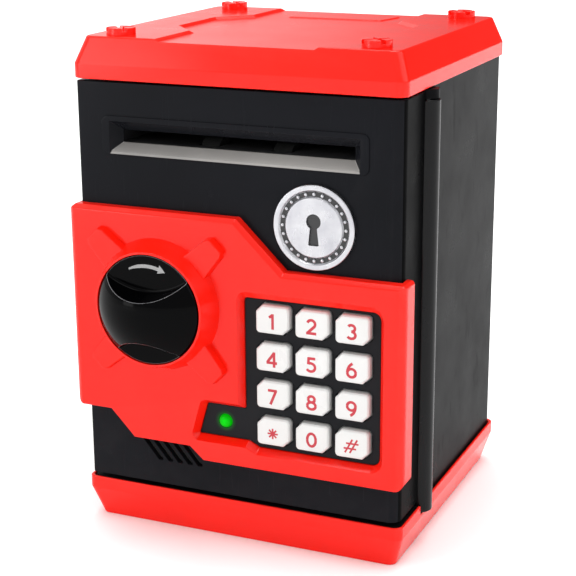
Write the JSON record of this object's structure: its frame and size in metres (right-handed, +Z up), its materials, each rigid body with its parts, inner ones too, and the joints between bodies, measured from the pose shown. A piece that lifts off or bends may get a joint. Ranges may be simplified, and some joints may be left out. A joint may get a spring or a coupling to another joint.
{
  "type": "toy safe coin bank",
  "caption": "Toy safe money bank: hollow cabinet with a side-hinged door, keypad, dial-turned latch bolt and motor-fed note slot.",
  "frame": {"origin": "middle of the base's flat underside", "axes": "+Z up, -Y towards the door's front, +X towards the hinge"},
  "size_m": [0.1309, 0.1373, 0.1875],
  "materials": {
    "red_plastic": "glossy moulded ABS",
    "black_plastic": "glossy moulded ABS",
    "dark_plastic": "fine matte grain",
    "key_plastic": "satin white with printed red marks",
    "silicone": "matte translucent grey",
    "circuit_board": "solder mask with copper tracks",
    "led_green": "tinted lens, lit",
    "badge_metal": "satin plated relief",
    "steel": "zinc-plated",
    "brass": "turned",
    "nylon": "natural white",
    "roller_rubber": "matte",
    "speaker_card": "black paper cone and steel basket",
    "cell_wrap": "printed foil wrap, plain bands"
  },
  "bodies": {
    "cabinet": {"base_tray": "red_plastic", "cash_box": "black_plastic", "top_lid": "red_plastic", "hinge_pins": "steel", "strike_plate": "steel", "lid_screws": "steel", "base_screws": "steel"},
    "door": {"fascia_panel": "red_plastic", "door_shell": "black_plastic", "note_slot_frame": "black_plastic", "door_back_cover": "dark_plastic", "latch_housing": "dark_plastic", "battery_box": "dark_plastic", "battery_cover": "dark_plastic", "feed_chassis": "dark_plastic", "keypad_bezel": "dark_plastic", "keypad_membrane": "silicone", "keypad_board": "circuit_board", "control_board": "circuit_board", "status_led": "led_green", "emblem_badge": "badge_metal", "cover_screws": "steel", "battery_cover_screw": "steel", "latch_screws": "steel", "battery_contacts": "steel", "feed_motor": "steel", "lock_solenoid": "steel", "plunger_spring": "steel", "shaft_bushes": "brass", "speaker": "speaker_card", "battery_cells": "cell_wrap"},
    "dial": {"dial_knob": "black_plastic", "dial_shaft": "steel", "lock_disc": "brass", "latch_pinion": "nylon"},
    "bolt": {"latch_bolt": "steel"},
    "plunger": {"lock_plunger": "brass"},
    "feed_drive": {"drive_shaft": "steel", "drive_rollers": "roller_rubber", "drive_gear": "nylon"},
    "feed_pinch": {"pinch_shaft": "steel", "pinch_rollers": "roller_rubber"},
    "feed_pinion": {"motor_pinion": "brass"},
    "key_1": {"key_1": "key_plastic"},
    "key_2": {"key_2": "key_plastic"},
    "key_3": {"key_3": "key_plastic"},
    "key_4": {"key_4": "key_plastic"},
    "key_5": {"key_5": "key_plastic"},
    "key_6": {"key_6": "key_plastic"},
    "key_7": {"key_7": "key_plastic"},
    "key_8": {"key_8": "key_plastic"},
    "key_9": {"key_9": "key_plastic"},
    "key_star": {"key_star": "key_plastic"},
    "key_0": {"key_0": "key_plastic"},
    "key_hash": {"key_hash": "key_plastic"}
  },
  "joints": [
    {"name": "door_hinge", "type": "hinge", "parent": "cabinet", "child": "door", "pos_m": [0.0612, -0.0312, 0.09], "axis": [0, 0, 1], "range_deg": [0, 110]},
    {"name": "dial_turn", "type": "hinge", "parent": "door", "child": "dial", "pos_m": [-0.0288, -0.065, 0.0899], "axis": [0, 1, 0], "range_deg": [-90, 0]},
    {"name": "bolt_slide", "type": "slide", "parent": "door", "child": "bolt", "axis": [1, 0, 0], "range_m": [-0.00786, 0]},
    {"name": "plunger_slide", "type": "slide", "parent": "door", "child": "plunger", "axis": [0, 0, 1], "range_m": [0, 0.003], "stiffness_N_per_m": 100, "deforming": ["plunger_spring"]},
    {"name": "feed_spin", "type": "hinge", "parent": "door", "child": "feed_drive", "pos_m": [0, -0.042, 0.1421], "axis": [1, 0, 0], "continuous": true},
    {"name": "pinch_spin", "type": "hinge", "parent": "door", "child": "feed_pinch", "pos_m": [0, -0.042, 0.1553], "axis": [1, 0, 0], "continuous": true},
    {"name": "pinion_spin", "type": "hinge", "parent": "door", "child": "feed_pinion", "pos_m": [0.05, -0.042, 0.1301], "axis": [1, 0, 0], "continuous": true},
    {"name": "key_1_press", "type": "slide", "parent": "door", "child": "key_1", "axis": [0, 1, 0], "range_m": [0, 0.0015], "stiffness_N_per_m": 200},
    {"name": "key_2_press", "type": "slide", "parent": "door", "child": "key_2", "axis": [0, 1, 0], "range_m": [0, 0.0015], "stiffness_N_per_m": 200},
    {"name": "key_3_press", "type": "slide", "parent": "door", "child": "key_3", "axis": [0, 1, 0], "range_m": [0, 0.0015], "stiffness_N_per_m": 200},
    {"name": "key_4_press", "type": "slide", "parent": "door", "child": "key_4", "axis": [0, 1, 0], "range_m": [0, 0.0015], "stiffness_N_per_m": 200},
    {"name": "key_5_press", "type": "slide", "parent": "door", "child": "key_5", "axis": [0, 1, 0], "range_m": [0, 0.0015], "stiffness_N_per_m": 200},
    {"name": "key_6_press", "type": "slide", "parent": "door", "child": "key_6", "axis": [0, 1, 0], "range_m": [0, 0.0015], "stiffness_N_per_m": 200},
    {"name": "key_7_press", "type": "slide", "parent": "door", "child": "key_7", "axis": [0, 1, 0], "range_m": [0, 0.0015], "stiffness_N_per_m": 200},
    {"name": "key_8_press", "type": "slide", "parent": "door", "child": "key_8", "axis": [0, 1, 0], "range_m": [0, 0.0015], "stiffness_N_per_m": 200},
    {"name": "key_9_press", "type": "slide", "parent": "door", "child": "key_9", "axis": [0, 1, 0], "range_m": [0, 0.0015], "stiffness_N_per_m": 200},
    {"name": "key_star_press", "type": "slide", "parent": "door", "child": "key_star", "axis": [0, 1, 0], "range_m": [0, 0.0015], "stiffness_N_per_m": 200},
    {"name": "key_0_press", "type": "slide", "parent": "door", "child": "key_0", "axis": [0, 1, 0], "range_m": [0, 0.0015], "stiffness_N_per_m": 200},
    {"name": "key_hash_press", "type": "slide", "parent": "door", "child": "key_hash", "axis": [0, 1, 0], "range_m": [0, 0.0015], "stiffness_N_per_m": 200}
  ],
  "couplings": [
    {"joint": "bolt_slide", "follows": "dial_turn", "m_per_rad": 0.005},
    {"joint": "pinch_spin", "follows": "feed_spin", "ratio": -1},
    {"joint": "pinion_spin", "follows": "feed_spin", "ratio": -3}
  ]
}
